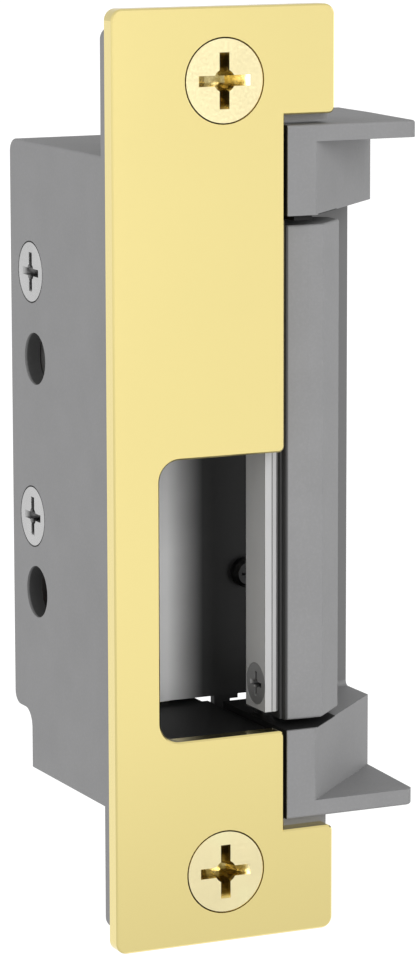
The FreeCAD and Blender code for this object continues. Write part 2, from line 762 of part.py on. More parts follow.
def make_keeper_housing():
    """The casting with two ramped ears, their lips, the back wall behind the keeper and two tongues."""
    body = new_body("housing_body")
    wall_corners = [
        ("back_wall_left", "back_wall_front"), ("housing_right", "back_wall_front"),
        ("housing_right", "housing_back"), ("back_wall_left", "housing_back"),
    ]
    ear_corners = [
        ("ear_left", "0"), ("ear_front_right", "0"), ("housing_right", "ramp_back"),
        ("housing_right", "housing_back"), ("back_wall_left", "housing_back"),
        ("back_wall_left", "ear_pocket_depth - 0.2"), ("ear_left", "ear_pocket_depth - 0.2"),
    ]
    lip_corners = [
        ("ear_left", "0"), ("lip_right", "0"), ("housing_right", "ramp_back"),
        ("housing_right", "housing_back"), ("back_wall_left", "housing_back"),
        ("back_wall_left", "ear_pocket_depth - 0.2"), ("ear_left", "ear_pocket_depth - 0.2"),
    ]
    tongue_corners = [
        ("tongue_left", "tongue_front"), ("ear_left + 1", "tongue_front"),
        ("ear_left + 1", "ear_pocket_depth - 0.2"), ("tongue_left", "ear_pocket_depth - 0.2"),
    ]
    inner = "case_half - wall - 0.1"
    pad(body, "wall_pad", "XY_Plane", wall_corners, "lower_ear_top - 1",
        "upper_ear_bottom - lower_ear_top + 2")
    inside_lip = "ear_outer - lip_thick / 2"
    pad(body, "upper_ear", "XY_Plane", ear_corners, "upper_ear_bottom", f"{inside_lip} - upper_ear_bottom")
    pad(body, "lower_ear", "XY_Plane", ear_corners, f"-({inside_lip})", f"{inside_lip} + lower_ear_top")
    pad(body, "upper_lip", "XY_Plane", lip_corners, "ear_outer - lip_thick", "lip_thick")
    pad(body, "lower_lip", "XY_Plane", lip_corners, "-ear_outer", "lip_thick")
    pad(body, "upper_tongue", "XY_Plane", tongue_corners, f"{inner} - tongue_thick", "tongue_thick")
    pad(body, "lower_tongue", "XY_Plane", tongue_corners, f"-({inner})", "tongue_thick")
    tip = size("lip_right")
    dress_edges(body, "lip_tips", "lip_tip_radius",
                lambda edge: runs_along(edge, 2) and near(edge, x=tip, y=0.0))
    round_ears(body)
    foot_deep, foot_height = size("back_wall_front"), size("lower_ear_top")
    dress_edges(body, "post_foot", "foot_radius",
                lambda edge: runs_along(edge, 0) and near(edge, y=foot_deep, z=foot_height))
    pin_hole = rod("pin_hole", "pin_dia / 2 + press_gap", "2 * pin_half + 0.3",
                   ("pivot_across", "pivot_deep", "-pin_half - 0.15"))
    pin_entry = rod("pin_entry", "pin_dia / 2 + press_gap", "10",
                    ("pivot_across", "pivot_deep", "-pin_half - 8"))
    land = block("upper_land", ("ear_left + 1.2", "land_front", "upper_ear_bottom - land_drop"),
                 ("ear_front_right - 0.4", "land_back", "upper_ear_bottom + 1"))
    stop = block("keeper_stop", ("stop_left", "stop_front", "heel_bottom"),
                 ("stop_right", "back_wall_front + 0.5", "heel_top"))
    threads = []
    for name, (across, deep, sign) in housing_screw_places().items():
        low = f"{inner} - tongue_thick - 0.1" if sign == "" else f"-({inner}) - 0.1"
        threads.append(rod(f"{name}_thread", "housing_shank_dia / 2 + running_gap", "tongue_thick + 0.3",
                           (across, deep, low)))
    whole = join("housing_whole", [body, land, stop])
    keep(cut("keeper_housing", whole, [pin_hole, pin_entry] + threads), "keeper_housing")


def round_ears(body):
    """Soften the front edge and tip of each lip, and the front corner of each ear."""
    left = size("ear_left") + 0.5
    corner = size("ear_front_right")
    for name, height in (("upper", size("ear_outer")), ("lower", -size("ear_outer"))):
        dress_edges(body, f"{name}_lip_front", "casting_edge_radius",
                    lambda edge: near(edge, y=0.0, z=height) and edge.CenterOfMass.x > left)
    dress_edges(body, "ear_corners", "casting_edge_radius",
                lambda edge: runs_along(edge, 2) and near(edge, x=corner, y=0.0))


# ------------------------------------------------------------------ keeper and what rides on it

def make_keeper():
    body = new_body("keeper_body")
    height = "keeper_top - keeper_bottom"
    corners = [
        ("keeper_left", "keeper_front + 0.3"), ("13.2", "keeper_front"),
        ("keeper_bevel_start", "keeper_front"),
        ("keeper_bevel_end", "keeper_bevel_depth"), ("keeper_bevel_end", "keeper_bar_back"),
        ("pivot_across + hub_radius", "pivot_deep"), ("pivot_across - hub_radius", "pivot_deep"),
        ("keeper_seat", "keeper_bar_back"), ("keeper_seat", "shim_front"),
        ("keeper_left + 0.4", "shim_front - 0.1"), ("keeper_left + 0.4", "shim_front - 0.4"),
        ("keeper_left", "shim_front - 0.5"),
    ]
    pad(body, "keeper_bar", "XY_Plane", corners, "keeper_bottom", height)
    ends = (size("keeper_top"), size("keeper_bottom"))
    bevel = (size("keeper_bevel_start"), size("keeper_bevel_end"))
    front, depth = size("keeper_front"), size("keeper_bevel_depth")
    dress_edges(body, "keeper_corners", "casting_edge_radius", lambda edge: runs_along(edge, 2)
                and (near(edge, x=bevel[0], y=front) or near(edge, x=bevel[1], y=depth)))
    dress_edges(body, "keeper_ends", "casting_edge_radius", lambda edge: edge.CenterOfMass.x > 13
                and edge.CenterOfMass.y < depth and any(near(edge, z=end) for end in ends))
    hub = rod("keeper_hub", "hub_radius", height, ("pivot_across", "pivot_deep", "keeper_bottom"))
    heel = block("keeper_heel", ("pivot_across - heel_width / 2", "pivot_deep", "heel_bottom"),
                 ("pivot_across + heel_width / 2", "pivot_deep + heel_reach", "heel_top"))
    bore = rod("keeper_bore", "pin_dia / 2 + running_gap", f"{height} + 2",
               ("pivot_across", "pivot_deep", "keeper_bottom - 1"))
    window = block("keeper_window", ("pivot_across - 6", "keeper_bar_back - 0.3", "spring_window_bottom"),
                   ("keeper_bevel_end + 1", "pivot_deep + 6", "spring_window_top"))
    threads = [
        rod(f"keeper_thread_{name}", "shim_shank_dia / 2 + running_gap", "8",
            ("keeper_seat - 1", "shim_front + shim_depth / 2", f"{sign}shim_screw_half_pitch"), TO_RIGHT)
        for name, sign in (("upper", ""), ("lower", "-"))
    ]
    solid = join("keeper_solid", [body, hub, heel])
    keep(cut("keeper", solid, [bore, window] + threads), "keeper")


def make_shims():
    """Two polished wear plates, the outer one countersunk for the screw heads."""
    deep = "shim_front + shim_depth / 2"
    for number, label in enumerate(("keeper_shim_inner", "keeper_shim_outer"), start=1):
        left = f"keeper_seat - {number} * shim_thick"
        plate = block(f"{label}_plate", (left, "shim_front", "-shim_half"),
                      (f"{left} + shim_thick", "shim_front + shim_depth", "shim_half"))
        tools = []
        for name, sign in (("upper", ""), ("lower", "-")):
            height = f"{sign}shim_screw_half_pitch"
            tools.append(rod(f"{label}_hole_{name}", "shim_shank_dia / 2 + 0.1", "4",
                             (f"{left} - 1", deep, height), TO_RIGHT))
            tools += flat_sink(f"{label}_{name}", "shim_head_dia", "shim_shank_dia",
                               ("keeper_seat - 2 * shim_thick", deep, height), TO_RIGHT)
        if label == "keeper_shim_inner":
            tools.append(shim_bevel())
        keep(cut(label, plate, tools), label)
    screws = [
        flat_screw(f"shim_screw_{name}", "shim_head_dia", "shim_shank_dia", "shim_screw_length",
                   "shim_recess_span", ("keeper_seat - 2 * shim_thick + set_below", deep,
                                        f"{sign}shim_screw_half_pitch"), TO_RIGHT)
        for name, sign in (("upper", ""), ("lower", "-"))
    ]
    keep(group("shim_screws", screws), "shim_screws")


def shim_bevel():
    """A square bar turned by 45 degrees that bevels the inner shim's front edge beside the keeper."""
    bar = block("shim_bevel", ("keeper_seat", "shim_front", "-shim_half - 1"),
                ("keeper_seat + 0.8", "shim_front + 0.8", "shim_half + 1"))
    bar.Placement = Placement(Vector(), Rotation(Vector(0, 0, 1), 45))
    bind(bar, **{"Placement.Base.x": "keeper_seat", "Placement.Base.y": "shim_front - 0.8 * sqrt(0.5)"})
    return bar


def make_keeper_pin():
    pin = rod("keeper_pin", "pin_dia / 2", "2 * pin_half", ("pivot_across", "pivot_deep", "-pin_half"))
    keep(pin, "keeper_pin")


def make_keeper_spring():
    """Torsion spring round the pin: the lower leg on the back wall, the upper one behind the bar."""
    start_angle = 135
    turns = 5 + (270 - start_angle) / 360
    radius = size("keeper_spring_radius")
    wire = size("keeper_spring_wire")
    slope = math.sqrt(0.5)
    leg_to_wall = (size("back_wall_front") - wire / 2 - size("pivot_deep")) / slope - radius
    at = Vector(size("pivot_across"), size("pivot_deep"), size("keeper_spring_bottom"))
    coil_spring("keeper_spring", wire, radius, turns, size("keeper_spring_height"), at,
                start_angle, leg_to_wall, 7.0)


# ------------------------------------------------------------------ lock mechanism

def make_mechanism_bracket():
    """A U-shaped bracket held by the side screws; its cheeks carry the lever's pin."""
    left = "case_left + wall + sheet_gap"
    right = "case_right - wall - 0.7"
    low, high = "mechanism_bottom", "mechanism_top"
    pieces = [
        block("left_cheek", (left, "cheek_front", low), (f"{left} + cheek_thick", "cheek_back", high)),
        block("left_leg", (left, "leg_front", "leg_bottom"),
              (f"{left} + cheek_thick", "cheek_back", f"{low} + 1")),
        block("right_cheek", (f"{right} - cheek_thick", "right_cheek_front", low),
              (right, "cheek_back", high)),
        block("web", (left, "web_front", "web_bottom"), (right, "web_front + cheek_thick", high)),
    ]
    for name in ("upper", "lower"):
        pieces.append(rod(f"collar_{name}", "collar_radius", "collar_length",
                          (left, "side_screw_depth", f"side_screw_{name}"), TO_RIGHT))
    tools = [
        rod(f"collar_thread_{name}", "side_shank_dia / 2 + running_gap", "8",
            (f"{left} - 1", "side_screw_depth", f"side_screw_{name}"), TO_RIGHT)
        for name in ("upper", "lower")
    ]
    for name in ("upper", "lower"):
        tools.append(rod(f"collar_relief_{name}", "collar_relief_radius", "collar_relief_depth + 1",
                         (f"{left} - 1", "side_screw_depth", f"side_screw_{name}"), TO_RIGHT))
    tools.append(lead_notch("bracket_lead_notch"))
    tools.append(rod("cheek_pin_hole", "lever_pin_dia / 2 + press_gap", "40",
                     ("case_left", "lever_pivot_deep", "lever_pivot_height"), TO_RIGHT))
    for name in ("lower", "upper"):
        tools.append(rod(f"web_screw_hole_{name}", "small_shank_dia / 2 + running_gap", "8",
                         ("coil_across", "web_front - 2", f"frame_screw_{name}"), TO_BACK))
    keep(cut("mechanism_bracket", join("bracket_solid", pieces), tools), "mechanism_bracket")


def lead_notch(name):
    """The window that lets the coil's leads out through the frame's spine and the bracket's web."""
    return block(name, ("lead_left - lead_dia / 2 - 0.2", "coil_deep + 7", "lead_exit - 0.9"),
                 ("lead_left + lead_spacing + lead_dia / 2 + 0.2", "web_front + 4", "lead_exit + 0.9"))


def make_solenoid_frame():
    left = "coil_across - frame_width / 2"
    right = "coil_across + frame_width / 2"
    pieces = [
        block("frame_lower_leg", (left, "frame_front", "frame_bottom"),
              (right, "web_front", "frame_bottom + frame_thick")),
        block("frame_upper_leg", (left, "frame_front", "frame_top - frame_thick"),
              (right, "web_front", "frame_top")),
        block("frame_spine", (left, "web_front - frame_thick", "frame_bottom"),
              (right, "web_front", "frame_top")),
    ]
    tools = [
        rod("frame_plunger_hole", "plunger_dia / 2 + 0.35", "4",
            ("coil_across", "coil_deep", "frame_bottom - 1")),
        rod("frame_rivet_hole", "core_rivet_radius + press_gap", "4",
            ("coil_across", "coil_deep", "frame_top - 2.5")),
        lead_notch("frame_lead_notch"),
    ]
    for name in ("lower", "upper"):
        tools.append(rod(f"frame_screw_hole_{name}", "small_shank_dia / 2 + running_gap", "8",
                         ("coil_across", "web_front - 4", f"frame_screw_{name}"), TO_BACK))
    keep(cut("solenoid_frame", join("frame_solid", pieces), tools), "solenoid_frame")
    screws = [
        pan_screw(f"frame_screw_{name}_piece", "small_head_dia", "small_head_height", "small_shank_dia",
                  "frame_screw_length", ("coil_across", "web_front + cheek_thick", f"frame_screw_{name}"),
                  TO_FRONT)
        for name in ("lower", "upper")
    ]
    keep(group("solenoid_screws", screws), "solenoid_screws")


def make_solenoid():
    """Bobbin, winding and fixed core, all turned about the coil's axis."""
    low = "frame_bottom + frame_thick + press_gap"
    high = "frame_top - frame_thick - press_gap"
    bore, tube, flange = "bobbin_bore_radius", "bobbin_tube_radius", "coil_radius + 0.3"
    inner_low, inner_high = f"{low} + bobbin_flange_thick", f"{high} - bobbin_flange_thick"
    at = ("coil_across", "coil_deep", "0")
    bobbin = turned("bobbin_body", [
        (bore, low), (flange, low), (flange, inner_low), (tube, inner_low),
        (tube, inner_high), (flange, inner_high), (flange, high), (bore, high),
    ])
    place(bobbin, at)
    keep(bobbin, "solenoid_bobbin")
    inner, outer = "bobbin_tube_radius + running_gap", "coil_radius"
    winding = turned("winding_body", [
        (inner, f"{inner_low} + running_gap"), (outer, f"{inner_low} + running_gap"),
        (outer, f"{inner_high} - running_gap"), (inner, f"{inner_high} - running_gap"),
    ])
    place(winding, at)
    keep(winding, "coil_winding")
    core = turned("core_body", [
        ("0", "core_low"), ("core_radius", "core_low"), ("core_radius", high),
        ("core_rivet_radius", high), ("core_rivet_radius", "frame_top + press_gap"),
        ("core_rivet_radius + 0.7", "frame_top + press_gap"),
        ("core_rivet_radius + 0.1", "frame_top + 0.8"), ("0", "frame_top + 0.8"),
    ])
    place(core, at)
    keep(core, "solenoid_core")


def make_plunger():
    radius = "plunger_dia / 2"
    groove = "clip_groove_radius"
    body = turned("plunger_body", [
        ("0", "plunger_low"), (f"{radius} - 0.4", "plunger_low"), (radius, "plunger_low + 0.4"),
        (radius, "clip_bottom - press_gap"), (groove, "clip_bottom - press_gap"),
        (groove, "clip_bottom + clip_thick + press_gap"), (radius, "clip_bottom + clip_thick + press_gap"),
        (radius, "plunger_high - 0.6"), (f"{radius} - 0.6", "plunger_high"), ("0", "plunger_high"),
    ])
    place(body, ("coil_across", "coil_deep", "0"))
    slot = block("plunger_slot", ("coil_across - plunger_slot_half", "coil_deep - 5", "plunger_low - 1"),
                 ("coil_across + plunger_slot_half", "coil_deep + 5", "clip_bottom - 0.5"))
    cross = rod("plunger_cross_hole", "cross_pin_dia / 2 + press_gap", "10",
                ("coil_across - 5", "coil_deep", "lever_pivot_height"), TO_RIGHT)
    keep(cut("plunger", body, [slot, cross]), "plunger")
    inside = "clip_groove_radius + running_gap"
    clip = turned("clip_body", [
        (inside, "clip_bottom"), ("clip_radius", "clip_bottom"),
        ("clip_radius", "clip_bottom + clip_thick"), (inside, "clip_bottom + clip_thick"),
    ])
    place(clip, ("coil_across", "coil_deep", "0"))
    mouth = block("clip_mouth", ("coil_across - clip_mouth_half", "coil_deep - 8", "clip_bottom - 1"),
                  ("coil_across + clip_mouth_half", "coil_deep - 1", "clip_bottom + 2"))
    keep(cut("plunger_clip", clip, [mouth]), "plunger_clip")
    pin_length = "plunger_dia - 0.6"
    pin = rod("plunger_cross_pin", "cross_pin_dia / 2", pin_length,
              (f"coil_across - ({pin_length}) / 2", "coil_deep", "lever_pivot_height"), TO_RIGHT)
    keep(pin, "plunger_cross_pin")


def make_plunger_spring():
    """Compression spring between the plunger's clip and the solenoid frame."""
    wire = size("plunger_spring_wire")
    low = size("clip_bottom") + size("clip_thick") + wire / 2 + 0.05
    high = size("frame_bottom") - wire / 2 - 0.05
    at = Vector(size("coil_across"), size("coil_deep"), low)
    coil_spring("plunger_spring", wire, size("plunger_spring_radius"), 3.0, high - low, at)


def make_locking_lever():
    """The lever turns on the pin at the back; its tooth rises in front of the keeper's heel."""
    under = "lever_pivot_height - lever_thick / 2"
    over = "lever_pivot_height + lever_thick / 2"
    left = "case_left + wall + cheek_thick + 0.3"
    right = "case_right - wall - cheek_thick - 0.9"
    leads_left = "lead_left - lead_dia / 2 - 0.6"
    leads_right = "lead_left + lead_spacing + lead_dia / 2 + 0.6"
    eye_centre = "coil_deep - 0.32"
    eye_left, eye_right = "coil_across - 0.9", "coil_across + 0.9"
    arm_back = "lever_front + 1"
    pieces = [
        lever_rod("lever_knuckle_left", "lever_knuckle_radius", left, leads_left),
        lever_rod("lever_knuckle_right", "lever_knuckle_radius", leads_right, right),
        block("lever_plate", (left, "lever_front", under), ("tooth_right", "lever_pivot_deep", over)),
        rod("lever_eye", "lever_eye_radius", "1.8", (eye_left, eye_centre, "lever_pivot_height"), TO_RIGHT),
        block("lever_tongue", (eye_left, eye_centre, under), (eye_right, arm_back, over)),
        block("lever_arm", ("tooth_left", "tooth_front", under), ("tooth_right", arm_back, over)),
        block("lever_tooth", ("tooth_left", "tooth_front", under),
              ("tooth_right", "tooth_front + 3.2", "tooth_top")),
    ]
    slot_start = "coil_deep - 0.65"
    slot = "lever_slot_radius"
    tools = [
        lever_rod("lever_bore", "lever_pin_dia / 2 + running_gap", "case_left", "case_right"),
        rod("lever_slot_front", slot, "6", ("coil_across - 3", slot_start, "lever_pivot_height"), TO_RIGHT),
        rod("lever_slot_back", slot, "6", ("coil_across - 3", "coil_deep", "lever_pivot_height"), TO_RIGHT),
        block("lever_slot_middle", ("coil_across - 3", slot_start, f"lever_pivot_height - {slot}"),
              ("coil_across + 3", "coil_deep", f"lever_pivot_height + {slot}")),
    ]
    keep(cut("locking_lever", join("lever_solid", pieces), tools), "locking_lever")
    pin = lever_rod("lever_pin", "lever_pin_dia / 2", "case_left + wall + 0.15", "case_right - wall - 0.3")
    keep(pin, "lever_pin")


def lever_rod(name, radius, start, end):
    """A cylinder on the lever's axis between two places across the case."""
    length = f"({end}) - ({start})"
    return rod(name, radius, length, (start, "lever_pivot_deep", "lever_pivot_height"), TO_RIGHT)


# ------------------------------------------------------------------ leads and connector

def make_leads():
    """Two insulated leads from the winding, out through the frame and down to the connector."""
    radius = size("lead_dia") / 2
    bend = size("lead_bend_radius")
    exit_height = size("lead_exit")
    deep = size("lead_deep")
    bottom = size("connector_bottom") + size("connector_height")
    diagonal = bend * math.sqrt(0.5)
    leads = []
    for number in range(2):
        across = size("lead_left") + number * size("lead_spacing")
        nearest = abs(across + radius - size("coil_across"))
        start_deep = size("coil_deep") + math.sqrt(size("coil_radius") ** 2 - nearest ** 2) + 0.03
        start = Vector(across, start_deep, exit_height)
        turn_in = Vector(across, deep - bend, exit_height)
        middle = Vector(across, deep - bend + diagonal, exit_height - bend + diagonal)
        turn_out = Vector(across, deep, exit_height - bend)
        path = Part.Wire([
            Part.LineSegment(start, turn_in).toShape(),
            Part.Arc(turn_in, middle, turn_out).toShape(),
            Part.LineSegment(turn_out, Vector(across, deep, bottom + 0.02)).toShape(),
        ])
        section = Part.Wire(Part.makeCircle(radius, start, Vector(0, 1, 0)))
        leads.append(path.makePipeShell([section], True, False))
    item = doc.addObject("Part::Feature", "coil_leads")
    item.Shape = Part.makeCompound(leads)
    item.Placement = Placement()
    keep(item, "coil_leads")


def make_connector():
    """A four-way socket snapped into the floor's window: its flange rests on the floor."""
    left, front, low = "connector_left", "connector_front", "connector_bottom"
    thick = "connector_wall"
    hole_half = "(contact_half + press_gap)"
    shell = block("connector_shell", (left, front, low),
                  (f"{left} + connector_width", f"{front} + connector_depth", f"{low} + connector_height"))
    flange = block("connector_flange", (f"{left} - {thick}", f"{front} - {thick}", "floor_top + press_gap"),
                   (f"{left} + connector_width + {thick}", f"{front} + connector_depth", "floor_top + 1"))
    mouth = block("connector_mouth", (f"{left} + {thick}", f"{front} + {thick}", f"{low} - 1"),
                  (f"{left} + connector_width - {thick}", f"{front} + connector_depth - {thick}",
                   f"{low} + 6"))
    contact_holes = []
    contacts = []
    for number in range(4):
        across = f"{left} + connector_width / 2 + ({number} - 1.5) * contact_pitch"
        deep = f"{front} + connector_depth / 2"
        contact_holes.append(block(f"contact_hole_{number}",
                                   (f"{across} - {hole_half}", f"{deep} - {hole_half}", f"{low} + 5"),
                                   (f"{across} + {hole_half}", f"{deep} + {hole_half}", f"{low} + 9")))
        contacts.append(block(f"contact_{number}",
                              (f"{across} - contact_half", f"{deep} - contact_half", f"{low} + 1.2"),
                              (f"{across} + contact_half", f"{deep} + contact_half", f"{low} + 8.9")))
    body = join("connector_body", [shell, flange])
    keep(cut("connector_socket", body, [mouth] + contact_holes), "connector_socket")
    keep(group("connector_contacts", contacts), "connector_contacts")


# ------------------------------------------------------------------ build, check and write

def check_document():
    """Stop on any failed feature and on any sub-part whose shape isn't a valid solid."""
    doc.recompute()
    for item in doc.Objects:
        if "Invalid" in item.State or "Error" in item.State:
            raise ValueError(f"{item.Name} failed: {item.State}")
    for item in parts:
        shape = item.Shape
        if shape.isNull() or not shape.isValid() or not shape.Solids:
            raise ValueError(f"{item.Label} has no valid solid")


def write_parts():
    os.makedirs("parts", exist_ok=True)
    for item in parts:
        item.Shape.exportStep(f"parts/{item.Label}.step")
        box = item.Shape.BoundBox
        print(f"{item.Label:20s} solids {len(item.Shape.Solids)}  volume {item.Shape.Volume:9.2f}  "
              f"x {box.XMin:7.2f} {box.XMax:7.2f}  y {box.YMin:6.2f} {box.YMax:6.2f}  "
              f"z {box.ZMin:7.2f} {box.ZMax:7.2f}")


fill_sheet()
make_faceplate()
make_faceplate_screws()
make_case()
make_side_screws()
make_housing_screws()
make_back_cover()
make_pocket_liner()
make_keeper_housing()
make_keeper()
make_shims()
make_keeper_pin()
make_keeper_spring()
make_mechanism_bracket()
make_solenoid_frame()
make_solenoid()
make_plunger()
make_plunger_spring()
make_locking_lever()
make_leads()
make_connector()
check_document()
write_parts()
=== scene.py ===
"""Looks for the electric door strike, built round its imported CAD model.  Lengths are in metres."""

import math

import bpy
from mathutils import Matrix, Vector


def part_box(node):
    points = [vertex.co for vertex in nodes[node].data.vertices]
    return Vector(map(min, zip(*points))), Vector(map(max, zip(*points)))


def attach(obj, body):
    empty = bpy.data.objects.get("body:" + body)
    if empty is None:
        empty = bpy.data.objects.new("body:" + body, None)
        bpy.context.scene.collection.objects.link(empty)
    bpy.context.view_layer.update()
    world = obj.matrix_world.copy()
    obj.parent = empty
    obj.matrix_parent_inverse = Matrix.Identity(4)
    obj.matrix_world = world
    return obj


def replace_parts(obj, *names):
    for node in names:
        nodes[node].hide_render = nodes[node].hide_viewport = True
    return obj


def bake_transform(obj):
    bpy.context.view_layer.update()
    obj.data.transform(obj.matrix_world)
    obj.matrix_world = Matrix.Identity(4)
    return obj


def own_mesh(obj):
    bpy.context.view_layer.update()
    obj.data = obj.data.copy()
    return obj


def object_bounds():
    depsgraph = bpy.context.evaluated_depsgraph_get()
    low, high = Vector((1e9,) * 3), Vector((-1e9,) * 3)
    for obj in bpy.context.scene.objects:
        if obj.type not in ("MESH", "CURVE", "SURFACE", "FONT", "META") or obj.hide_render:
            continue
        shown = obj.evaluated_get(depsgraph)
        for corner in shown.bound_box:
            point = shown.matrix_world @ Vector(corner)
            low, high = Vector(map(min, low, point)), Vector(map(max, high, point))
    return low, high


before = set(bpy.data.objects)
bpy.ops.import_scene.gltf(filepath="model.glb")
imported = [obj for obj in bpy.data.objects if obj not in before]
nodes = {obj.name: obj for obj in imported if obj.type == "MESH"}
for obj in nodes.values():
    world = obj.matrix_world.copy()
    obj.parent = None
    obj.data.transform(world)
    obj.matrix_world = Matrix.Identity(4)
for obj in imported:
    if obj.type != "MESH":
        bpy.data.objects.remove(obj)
cad_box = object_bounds()
MM = 0.001


# ------------------------------------------------------------------ node-graph helpers

class Graph:
    """A material's node tree, with short calls for the nodes that the materials share."""

    def __init__(self, name):
        self.material = bpy.data.materials.new(name)
        self.material.use_nodes = True
        self.tree = self.material.node_tree
        self.shader = self.tree.nodes["Principled BSDF"]
        self.position = self.node("ShaderNodeTexCoord").outputs["Object"]

    def node(self, kind, **settings):
        made = self.tree.nodes.new(kind)
        for name, value in settings.items():
            setattr(made, name, value)
        return made

    def link(self, output, socket):
        self.tree.links.new(output, socket)

    def set(self, **values):
        for name, value in values.items():
            self.shader.inputs[name.replace("_", " ")].default_value = value

    def stretched(self, scale):
        """Object coordinates scaled by a different factor along each axis."""
        mapping = self.node("ShaderNodeMapping")
        mapping.inputs["Scale"].default_value = scale
        self.link(self.position, mapping.inputs["Vector"])
        return mapping.outputs["Vector"]

    def noise(self, scale, detail=4.0, roughness=0.5, vector=None):
        made = self.node("ShaderNodeTexNoise")
        made.inputs["Scale"].default_value = scale
        made.inputs["Detail"].default_value = detail
        made.inputs["Roughness"].default_value = roughness
        self.link(vector or self.position, made.inputs["Vector"])
        return made.outputs["Fac"]

    def ramp(self, value, low, high, start=0.3, end=0.7):
        """Colours from low to high as value goes from start to end."""
        made = self.node("ShaderNodeValToRGB")
        made.color_ramp.elements[0].position = start
        made.color_ramp.elements[0].color = low
        made.color_ramp.elements[1].position = end
        made.color_ramp.elements[1].color = high
        self.link(value, made.inputs["Fac"])
        return made.outputs["Color"]

    def range(self, value, low, high, start=0.3, end=0.7):
        """A number from low to high as value goes from start to end."""
        made = self.node("ShaderNodeMapRange")
        made.inputs["From Min"].default_value = start
        made.inputs["From Max"].default_value = end
        made.inputs["To Min"].default_value = low
        made.inputs["To Max"].default_value = high
        self.link(value, made.inputs["Value"])
        return made.outputs["Result"]

    def maths(self, operation, first, second):
        """The sum, product or such of two values, each a socket or a number."""
        made = self.node("ShaderNodeMath", operation=operation)
        for socket, value in zip(made.inputs, (first, second)):
            if isinstance(value, (int, float)):
                socket.default_value = value
            else:
                self.link(value, socket)
        return made.outputs["Value"]

    def vector_maths(self, operation, first, second=None):
        """The same for a vector socket and, if the operation takes one, a fixed vector."""
        made = self.node("ShaderNodeVectorMath", operation=operation)
        self.link(first, made.inputs[0])
        if second is not None:
            made.inputs[1].default_value = second
        return made.outputs["Vector"]

    def mix(self, factor, first, second):
        """The colour first where factor is 0 and second where it is 1."""
        made = self.node("ShaderNodeMix", data_type="RGBA")
        self.link(factor, made.inputs["Factor"])
        for socket, value in ((made.inputs[6], first), (made.inputs[7], second)):
            if isinstance(value, tuple):
                socket.default_value = value
            else:
                self.link(value, socket)
        return made.outputs[2]

    def split(self, vector=None):
        """The X, Y and Z sockets of a vector, or of the object coordinates."""
        made = self.node("ShaderNodeSeparateXYZ")
        self.link(vector or self.position, made.inputs["Vector"])
        return made.outputs

    def inside(self, low, high, soft):
        """1 inside the box from low to high, 0 outside it, with an edge of width soft."""
        low, high = Vector(low), Vector(high)
        away = self.vector_maths("SUBTRACT", self.position, (low + high) / 2)
        away = self.vector_maths("SUBTRACT", self.vector_maths("ABSOLUTE", away), (high - low) / 2)
        axes = self.split(away)
        furthest = self.maths("MAXIMUM", axes["X"], axes["Y"])
        furthest = self.maths("MAXIMUM", furthest, axes["Z"])
        return self.range(furthest, 1.0, 0.0, -soft, soft)

    def bump(self, height, distance, strength):
        made = self.node("ShaderNodeBump")
        made.inputs["Strength"].default_value = strength
        made.inputs["Distance"].default_value = distance
        self.link(height, made.inputs["Height"])
        self.link(made.outputs["Normal"], self.shader.inputs["Normal"])


def grey(level):
    return (level, level, level, 1.0)


def between(colour, factor):
    """The colour made lighter or darker by a factor."""
    return tuple(channel * factor for channel in colour[:3]) + (1.0,)


# ------------------------------------------------------------------ materials

BRASS = (0.93, 0.785, 0.335)
PALE_BRASS = (1.0, 0.885, 0.52)
# Painted shadow colour for the recesses of the brass faceplate screws.
BRASS_RECESS_SHADE = (0.30, 0.22, 0.05, 1.0)
STEEL = (0.50, 0.50, 0.49)
ZINC = (0.78, 0.78, 0.76)
SHEET_GRAIN = (600, 600, 9000)
STRIP_GRAIN = (7000, 7000, 400)
ROUND_GRAIN = (2500, 2500, 2500)


def cast_paint(name, level=0.21, shaded=()):
    """Fine grey powder coat on a die casting.

    shaded lists boxes as (low, high, edge width, colour): inside them the casting has that darker colour,
    which stands for the deep shadow there and is not a different paint.
    """
    graph = Graph(name)
    mottle = graph.noise(160, 3)
    tone = (level, level, level * 1.01)
    colour = graph.ramp(mottle, between(tone, 0.97), between(tone, 1.03))
    speckle = graph.noise(2600, 1, 0.7)
    colour = graph.mix(graph.range(speckle, 0.0, 0.16, 0.45, 0.75), colour, between(tone, 1.35))
    for low, high, soft, dark in shaded:
        colour = graph.mix(graph.inside(low, high, soft), colour, dark)
    graph.link(colour, graph.shader.inputs["Base Color"])
    grain = graph.noise(5200, 2, 0.6)
    graph.link(graph.range(grain, 0.50, 0.62), graph.shader.inputs["Roughness"])
    graph.bump(grain, 0.03 * MM, 0.25)
    graph.set(Metallic=0.0, Specular_IOR_Level=0.1)
    return graph.material


def satin_brass(name):
    """Smooth satin brass under clear lacquer, painted darker on the side faces behind the front face as
    painted shade.
    """
    graph = Graph(name)
    tint = graph.noise(30, 2)
    colour = graph.ramp(tint, between(BRASS, 0.99), between(BRASS, 1.01))
    # Painted shade: behind the front face the brass colour is darker.
    edge = graph.range(graph.split()["Y"], 0.0, 1.0, 0.1 * MM, 0.3 * MM)
    graph.link(graph.mix(edge, colour, between(BRASS, 0.84)), graph.shader.inputs["Base Color"])
    grain = graph.noise(1.0, 2, 0.5, graph.stretched((9000, 9000, 500)))
    graph.link(graph.range(grain, 0.17, 0.19), graph.shader.inputs["Roughness"])
    graph.bump(grain, 0.004 * MM, 0.015)
    graph.set(Metallic=1.0)
    return graph.material


